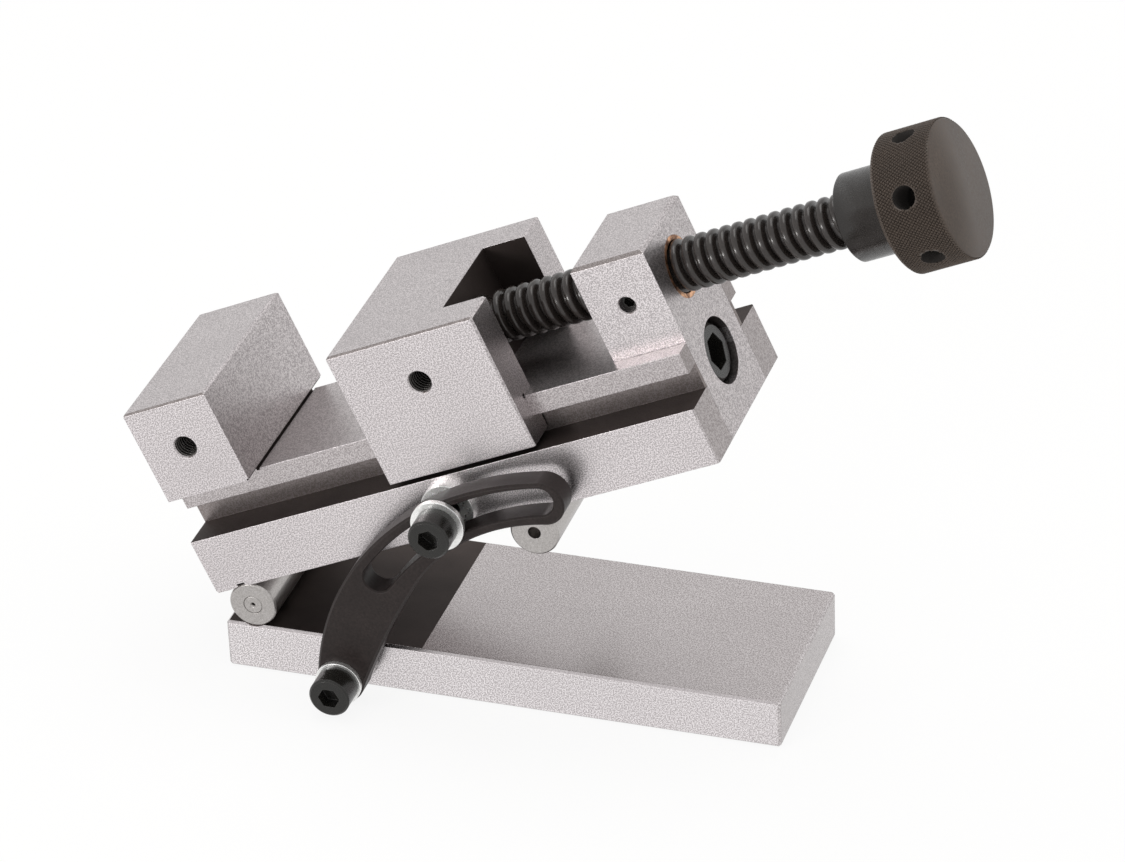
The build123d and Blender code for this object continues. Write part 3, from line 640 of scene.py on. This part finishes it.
class VISE_PG_steel(bpy.types.PropertyGroup):
    """Colours of the ground and lapped steel."""

    pale: colour_property("Ground pale", "Bright grain of the ground faces", "#F0EAEB")
    dark: colour_property("Ground dark", "Dull grain of the ground faces", "#AEA8A9")
    # the plate's grain is paler than the body's, a painted light for the floor's bounce just below it
    plate_pale: colour_property("Plate pale", "Bright grain of the base plate", "#FCF7F8")
    plate_dark: colour_property("Plate dark", "Dull grain of the base plate", "#B8B2B3")
    # also the colour that the painted shade boxes are painted towards
    rim: colour_property("Chamfer", "Milled chamfers along the blocks", "#6E6460")
    # also the colour of the painted shadow on the base plate's top
    scale: colour_property("Scale", "Black scale in the recesses", "#332D2B")
    roll_pale: colour_property("Roll pale", "Bright grain of the rolls", "#C4C0BE")
    roll_dark: colour_property("Roll dark", "Dull grain of the rolls", "#96928F")


class VISE_PG_dark(bpy.types.PropertyGroup):
    """Colours of the blackened parts, the washers and the bush."""

    arm: colour_property("Arm", "Black oxide of the slotted arm", "#1F1A19")
    screw: colour_property("Screws", "Black oxide of the cap screws", "#131210")
    lead: colour_property("Lead screw", "Oiled black of the lead screw", "#231F1D")
    knob: colour_property("Knob", "Brown black of the knob", "#39312B")
    worn: colour_property("Worn edge", "Steel where the oxide is rubbed off", "#8C8784")
    washer_pale: colour_property("Washer pale", "Bright zinc", "#FBFBFA")
    washer_dark: colour_property("Washer dark", "Dull zinc", "#DEDDDA")
    bush_pale: colour_property("Bush pale", "Bright bronze", "#E2B08A")
    bush_dark: colour_property("Bush dark", "Oil-darkened bronze", "#6E4D39")


class VISE_PG_sizes(bpy.types.PropertyGroup):
    """Sizes of what is drawn here rather than in the solids."""

    pitch: length_property("Screw pitch", "Pitch of the lead screw's thread", 4.0 * MM)
    thread_depth: length_property("Thread depth", "Depth of the lead screw's thread", 2.25 * MM)
    thread_crest: length_property("Thread crest", "Width of the thread's crest", 1.9 * MM)
    knurl_depth: length_property("Knurl depth", "Height of the knurl's points", 0.32 * MM)
    knurl_around: IntProperty(name="Knurl points around", description="Points in one row", default=116)
    knurl_rows: IntProperty(name="Knurl rows", description="Rows along the rim", default=27)
    tap_pitch: length_property("Tapped hole pitch", "Pitch of the side holes' thread", 1.25 * MM)
    tap_depth: length_property("Tapped hole depth", "How far the side holes' thread stands in", 0.22 * MM)


# Operators

class VISE_OT_ground_blocks(bpy.types.Operator):
    """Grind the base plate, body, movable jaw and nut block"""

    bl_idname = "sine_vise.ground_blocks"
    bl_label = "Ground blocks"

    def execute(self, context):
        look = context.scene.vise_steel
        east, north = Vector((1, 0, 0)), Vector((0, 0, 1))
        anywhere = (None, None, None)
        skin, bed_skin = 0.1, 0.3
        half = -vise_reach("vise_body", ACROSS)[0] / MM
        plate_top = (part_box("base_plate")[1][2] - HINGE.z) / MM - skin
        plate_end = (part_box("base_plate")[1][0] - HINGE.x) / MM - skin
        painted_shadow_end, plate_bevel = 53.9, 0.85
        dress(
            "base_plate",
            ground_steel(
                "Ground steel plate", look, east, north, look.plate_dark,
                # the black box on the plate's top, from the hinge to the band's end, is a painted shadow of the
                # body above it
                black=[((None, None, plate_top), (painted_shadow_end, half - plate_bevel, None))],
                # painted shade: the plate's top and end are painted duller
                painted_shade=[
                    ((None, None, plate_top), anywhere, 0.2),
                    ((plate_end, None, None), anywhere, 0.3),
                ],
                tones=(look.plate_dark, look.plate_pale),
                gloss=(0.2, 0.28),
            ),
        )
        ledge, lip_foot, past_lips, beside = 25.5, 33.5, 25.0, 0.02
        rail_top = (Vector(MOUNTS["work_bed"]["pos_m"]) - HINGE).dot(UP) / MM
        rail_end = vise_reach("vise_body", ALONG)[1] / MM - skin
        jaw_face = (Vector(MOUNTS["fixed_jaw_face"]["pos_m"]) - HINGE).dot(ALONG) / MM
        relief = 0.62
        relief_low = (jaw_face - relief, None, rail_top - relief)
        relief_high = (jaw_face + relief, None, rail_top + relief)
        dress(
            "vise_body",
            ground_steel(
                "Ground steel body", look, ALONG, UP, look.rim,
                black=[
                    ((None, None, ledge - skin), (None, half - beside, ledge + skin)),
                    (relief_low, relief_high),
                ],
                # painted shade: the rail's top, the lip and neck faces under it, and the rail's end are painted
                # duller
                painted_shade=[
                    ((None, None, rail_top - bed_skin), (None, past_lips, rail_top + bed_skin), 0.15),
                    ((None, None, lip_foot), (None, past_lips, rail_top - bed_skin), 0.3),
                    ((None, None, ledge + skin), (None, past_lips, lip_foot), 0.75),
                    ((rail_end, None, None), anywhere, 0.35),
                ],
            ),
        )
        back = vise_reach("movable_jaw", ALONG)[1] / MM
        top = vise_reach("movable_jaw", UP)[1] / MM
        slot_depth, slot_half = 14.8, 18.6
        dress(
            "movable_jaw",
            ground_steel(
                "Ground steel jaw", look, ALONG, UP, look.rim,
                black=[((back - slot_depth, None, None), (back - skin, slot_half, top - skin))],
            ),
        )
        dress("nut_block", ground_steel("Ground steel nut block", look, ALONG, UP, look.rim))
        return {"FINISHED"}


class VISE_OT_rolls(bpy.types.Operator):
    """Lap the hinge roll and the sine roll"""

    bl_idname = "sine_vise.rolls"
    bl_label = "Rolls"

    def execute(self, context):
        steel = context.scene.vise_steel
        finish = lapped_steel("Lapped roll steel", steel.roll_pale, steel.roll_dark)
        for node in ("hinge_roll", "hinge_roll_plug", "sine_roll"):
            dress(node, finish)
        return {"FINISHED"}


class VISE_OT_arm(bpy.types.Operator):
    """Blacken the slotted arm"""

    bl_idname = "sine_vise.arm"
    bl_label = "Slotted arm"

    def execute(self, context):
        dark = context.scene.vise_dark
        dress(
            "slotted_arm",
            black_oxide("Black oxide arm", dark.arm, dark.worn, (0.34, 0.5), 0.8, 0.2, 0.17),
        )
        return {"FINISHED"}


class VISE_OT_fasteners(bpy.types.Operator):
    """Blacken the screws and plate the washers"""

    bl_idname = "sine_vise.fasteners"
    bl_label = "Screws and washers"

    def execute(self, context):
        dark = context.scene.vise_dark
        finish = black_oxide("Black oxide screws", dark.screw, dark.worn, (0.2, 0.32), 0.4, 0.2, 0.4)
        for node in (
            "arm_pivot_screw", "arm_clamp_screw", "nut_block_screw",
            "roll_screws", "jaw_dog_screw", "bush_set_screw",
        ):
            dress(node, finish)
        plated = bright_zinc("Bright zinc", dark.washer_pale, dark.washer_dark)
        for use in ("pivot", "clamp"):
            for face in ("outer", "inner"):
                dress(f"{use}_washer_{face}", plated)
        return {"FINISHED"}


class VISE_OT_lead_screw(bpy.types.Operator):
    """Cut the lead screw's trapezoidal thread and turn its bush"""

    bl_idname = "sine_vise.lead_screw"
    bl_label = "Lead screw and bush"

    def execute(self, context):
        dark = context.scene.vise_dark
        sizes = context.scene.vise_sizes
        dress("nut_bush", bronze("Bush bronze", dark.bush_pale, dark.bush_dark))
        oiled = black_oxide(
            "Oiled black thread", dark.lead, dark.worn, (0.12, 0.22), 0.6, 0.12, 0.5, bare=0.12
        )
        nose_end = vise_reach("lead_screw", ALONG)[0]
        hub = vise_reach("knob", ALONG)[0]
        crest = max(from_screw(vertex.co).length for vertex in frame["nodes"]["lead_screw"].data.vertices)
        core = crest - sizes.thread_depth
        slot_depth, nose, play, bevel = 14.6 * MM, 6.0 * MM, 0.04 * MM, 0.5 * MM
        run_in, into_hub, flank_angle = 1.5 * MM, 0.5 * MM, math.radians(15)
        slot = vise_reach("movable_jaw", ALONG)[1] - slot_depth
        start = slot + run_in
        outline = [
            (0, nose_end), (nose, nose_end), (nose, slot + play), (crest - bevel, slot + play),
            (crest, slot + bevel), (crest, start), (core, start),
            (core, hub + into_hub), (0, hub + into_hub),
        ]
        shaft = lathe("lead_screw_core", outline, 64)
        # the thread's foot is sunk in the core, and its flanks keep their slope down there
        sunk = 1.0 * MM
        flank = (sizes.thread_depth + sunk) * math.tan(flank_angle)
        plain_turns, first_turn = 0.6, 0.35
        thread = grown(
            "lead_screw_thread",
            thread_tree(oiled),
            {
                "Root radius": core - sunk,
                "Depth": sizes.thread_depth + sunk,
                "Root width": sizes.thread_crest + 2 * flank,
                "Crest width": sizes.thread_crest,
                "Pitch": sizes.pitch,
                "Turns": (hub - start) / sizes.pitch - plain_turns,
                "Fade turns": 0.5,
                "Rounding": 0.85 * MM,
                "Steps": 64,
            },
        )
        creased(thread, 30)
        placed(shaft, CENTRE, ACROSS, ALONG)
        placed(thread, CENTRE + ALONG * (start + sizes.pitch * first_turn), ACROSS, ALONG)
        piece("lead_screw_core", shaft, "screw", oiled, ("lead_screw",))
        piece("lead_screw_thread", thread, "screw", None)
        return {"FINISHED"}


class VISE_OT_knob(bpy.types.Operator):
    """Turn the knob and roll the diamond knurl on its rim"""

    bl_idname = "sine_vise.knob"
    bl_label = "Knob"

    def execute(self, context):
        dark = context.scene.vise_dark
        sizes = context.scene.vise_sizes
        hub_length, face, into_rim = 15.7, 1.5, 0.45
        hub_end = vise_reach("knob", ALONG)[0] / MM + hub_length
        knob_end = vise_reach("knob", ALONG)[1] / MM
        inner_radius = vise_reach("knob", ACROSS)[1] / MM - into_rim
        hole_duller, hub_glossier = 0.5, 0.24

        def hub_and_hole_shade(tree):
            """The hub, turned and oiled, and the walls of the rim's holes, painted dark, a painted shade inside
            them.
            """
            local = from_hinge(tree, -TILT)
            hub = within(tree, local, (None, None, None), (hub_end, None, None))
            axes = add(tree, "ShaderNodeSeparateXYZ", (local,)).outputs
            rise = add(tree, "ShaderNodeMath", (axes[2], SCREW_Z / MM), operation="SUBTRACT")
            squares = [
                add(tree, "ShaderNodeMath", (part, part), operation="MULTIPLY")
                for part in (axes[1], rise)
            ]
            square = add(tree, "ShaderNodeMath", squares, operation="ADD")
            out = add(tree, "ShaderNodeMath", (square,), operation="SQRT")
            inside = add(tree, "ShaderNodeMath", (out, inner_radius), operation="LESS_THAN")
            rim = within(tree, local, (hub_end + face, None, None), (knob_end - face, None, None))
            # the walls of the rim's holes, painted near black with the hub below: a painted shade inside the holes
            holes = add(tree, "ShaderNodeMath", (inside, rim), operation="MULTIPLY")
            duller = add(tree, "ShaderNodeMath", (holes, hole_duller), operation="MULTIPLY")
            glossier = add(tree, "ShaderNodeMath", (hub, hub_glossier), operation="MULTIPLY")
            rougher = add(tree, "ShaderNodeMath", (duller, glossier), operation="SUBTRACT")
            return add(tree, "ShaderNodeMath", (hub, holes), operation="MAXIMUM"), rougher

        plain = black_oxide(
            "Black oxide knob", dark.knob, dark.worn, (0.38, 0.56), 0.7, 0.1, 0.3, deeper=hub_and_hole_shade
        )
        rolled = black_oxide("Black oxide knurl", dark.knob, dark.worn, (0.35, 0.5), 0.4, 0.1, 0.2)
        hole = MOUNTS["tommy_hole_1"]
        middle = (Vector(hole["pos_m"]) - HINGE).dot(ALONG)
        source = frame["nodes"]["knob"].data
        radius = max(from_screw(vertex.co).length for vertex in source.vertices)
        mesh = source.copy()
        work = bmesh.new()
        work.from_mesh(mesh)
        bmesh.ops.remove_doubles(work, verts=work.verts, dist=1e-6)
        # the rim is turned down to the feet of the knurl's points
        rim_band, plain_edges, clear_of_hole = 0.35 * MM, 0.7 * MM, 0.2
        for vertex in work.verts:
            radial = from_screw(vertex.co)
            if radial.length > radius - rim_band:
                vertex.co -= radial.normalized() * sizes.knurl_depth
        work.to_mesh(mesh)
        work.free()
        creased(mesh, 25)
        piece("knob_turned", mesh, "screw", plain, ("knob",))
        direction = Vector(hole["axis"])
        angle = math.atan2(direction.dot(UP), direction.dot(ACROSS))
        length = 2 * (vise_reach("knob", ALONG)[1] - middle) - plain_edges
        knurl = grown(
            "knob_knurl",
            knurl_tree(rolled),
            {
                "Radius": radius,
                "Length": length,
                "Depth": sizes.knurl_depth,
                "Around": sizes.knurl_around,
                "Rows": sizes.knurl_rows,
                "Holes": 6,
                "Hole angle": angle,
                "Hole radius": (hole["dims"]["r_mm"] + clear_of_hole) * MM,
            },
        )
        placed(knurl, CENTRE + ALONG * (middle - length / 2), ACROSS, ALONG)
        piece("knob_knurl", knurl, "screw", None)
        return {"FINISHED"}


class VISE_OT_tapped_holes(bpy.types.Operator):
    """Thread the side holes of the fixed jaw and of the movable jaw"""

    bl_idname = "sine_vise.tapped_holes"
    bl_label = "Tapped holes"

    def execute(self, context):
        dark = context.scene.vise_dark
        sizes = context.scene.vise_sizes
        finish = black_oxide("Tapped thread", dark.screw, dark.worn, (0.3, 0.45), 0.4, 0.6)
        stop = Vector(MOUNTS["stop_hole"]["pos_m"])
        radius = MOUNTS["stop_hole"]["dims"]["r_mm"] * MM
        near = vise_reach("vise_body", ACROSS)[0] + 0.9 * MM
        play, foot, crest = 0.02 * MM, 0.96, 0.16
        tree = thread_tree(finish)
        for name, body, along, depth in (
            ("stop_hole_thread", "vise", (stop - HINGE).dot(ALONG), 12 * MM),
            ("jaw_hole_thread", "jaw", sum(vise_reach("movable_jaw", ALONG)) / 2, 9 * MM),
        ):
            thread = grown(
                name,
                tree,
                {
                    "Root radius": radius + play,
                    "Depth": -sizes.tap_depth,
                    "Root width": sizes.tap_pitch * foot,
                    "Crest width": sizes.tap_pitch * crest,
                    "Pitch": sizes.tap_pitch,
                    "Turns": depth / sizes.tap_pitch,
                    "Fade turns": 0.3,
                    "Rounding": 0.03 * MM,
                    "Steps": 40,
                },
            )
            placed(creased(thread, 40), CENTRE + ALONG * along + ACROSS * near, ALONG, ACROSS)
            piece(name, thread, body, None)
        return {"FINISHED"}


class VISE_OT_stage(bpy.types.Operator):
    """Lay the pale floor, set the lamps and place the camera"""

    bl_idname = "sine_vise.stage"
    bl_label = "Floor, lamps and camera"

    def execute(self, context):
        scene = context.scene
        mesh = bpy.data.meshes.new("floor")
        reach, below = 4.0, 0.0002
        corners = [(-reach, -reach, 0), (reach, -reach, 0), (reach, reach, 0), (-reach, reach, 0)]
        mesh.from_pydata(corners, [], [(0, 1, 2, 3)])
        floor = bpy.data.objects.new("floor", mesh)
        floor.location.z = -below
        scene.collection.objects.link(floor)
        mesh.materials.append(paper_floor("White paper", linear("#F4F3F1")))

        world = bpy.data.worlds.new("Studio")
        scene.world = world
        world.use_nodes = True
        tree = world.node_tree
        tree.nodes.clear()
        daylight, shown = 0.78, 0.22
        extra = add(tree, "ShaderNodeMath", (seen_rays(tree), shown), operation="MULTIPLY")
        strength = add(tree, "ShaderNodeMath", (extra, daylight), operation="ADD")
        sky = add(tree, "ShaderNodeBackground", {"Color": (1, 1, 1, 1), "Strength": strength})
        add(tree, "ShaderNodeOutputWorld", (sky,))

        target = Vector((0.01, 0, 0.08))
        for name, place, size, power, tint in (
            ("key_front_left", (-0.45, -1.15, 0.22), 1.0, 2.2, (1.0, 0.985, 0.99)),
            ("glint_front_left", (-0.66, -0.96, 0.24), 0.22, 2.7, (1.0, 0.99, 0.98)),
            ("top_soft", (-0.15, 0.35, 1.35), 0.9, 6.0, (1.0, 0.99, 0.98)),
            ("right_side", (1.25, 0.10, 0.75), 0.5, 1.5, (1.0, 0.985, 0.97)),
        ):
            lamp = bpy.data.lights.new(name, "AREA")
            lamp.shape = "SQUARE"
            lamp.size = size
            lamp.energy = power
            lamp.color = tint
            light = bpy.data.objects.new(name, lamp)
            light.location = place
            light.rotation_mode = "QUATERNION"
            light.rotation_quaternion = (target - Vector(place)).to_track_quat("-Z", "Y")
            scene.collection.objects.link(light)

        # the photograph's own view, solved from the edges of the plate and the jaws
        right = Vector((0.95218407, 0.30362103, -0.03405531)).normalized()
        back = Vector((0.27698202, -0.81080667, 0.51562923))
        back = (back - right * back.dot(right)).normalized()
        above = back.cross(right)
        camera_data = bpy.data.cameras.new("photo_view")
        camera_data.sensor_fit = "HORIZONTAL"
        camera_data.sensor_width = 36.0
        camera_data.lens = 158.2
        camera_data.clip_start = 0.05
        camera = bpy.data.objects.new("photo_view", camera_data)
        place = Matrix.Translation((0.41979774, -1.19266877, 0.83863322))
        camera.matrix_world = place @ Matrix((right, above, back)).transposed().to_4x4()
        scene.collection.objects.link(camera)
        scene.camera = camera
        scene.view_settings.view_transform = "Standard"
        return {"FINISHED"}


class VISE_PT_panel(bpy.types.Panel):
    """Sizes, colours and steps of the sine vise"""

    bl_idname = "VISE_PT_panel"
    bl_label = "Sine vise"
    bl_space_type = "VIEW_3D"
    bl_region_type = "UI"
    bl_category = "Sine vise"

    def draw(self, context):
        layout = self.layout
        for group in (context.scene.vise_steel, context.scene.vise_dark, context.scene.vise_sizes):
            column = layout.column(align=True)
            for name in group.__annotations__:
                column.prop(group, name)
        for step in STEPS:
            layout.operator(step.bl_idname)


STEPS = (
    VISE_OT_ground_blocks,
    VISE_OT_rolls,
    VISE_OT_arm,
    VISE_OT_fasteners,
    VISE_OT_lead_screw,
    VISE_OT_knob,
    VISE_OT_tapped_holes,
    VISE_OT_stage,
)
GROUPS = (VISE_PG_steel, VISE_PG_dark, VISE_PG_sizes)


def register():
    for made in (*GROUPS, *STEPS, VISE_PT_panel):
        bpy.utils.register_class(made)
    bpy.types.Scene.vise_steel = PointerProperty(type=VISE_PG_steel)
    bpy.types.Scene.vise_dark = PointerProperty(type=VISE_PG_dark)
    bpy.types.Scene.vise_sizes = PointerProperty(type=VISE_PG_sizes)


def unregister():
    for name in ("vise_steel", "vise_dark", "vise_sizes"):
        delattr(bpy.types.Scene, name)
    for made in reversed((*GROUPS, *STEPS, VISE_PT_panel)):
        bpy.utils.unregister_class(made)


def main():
    register()
    for step in STEPS:
        group, name = step.bl_idname.split(".")
        getattr(getattr(bpy.ops, group), name)()


if __name__ == "__main__":
    main()
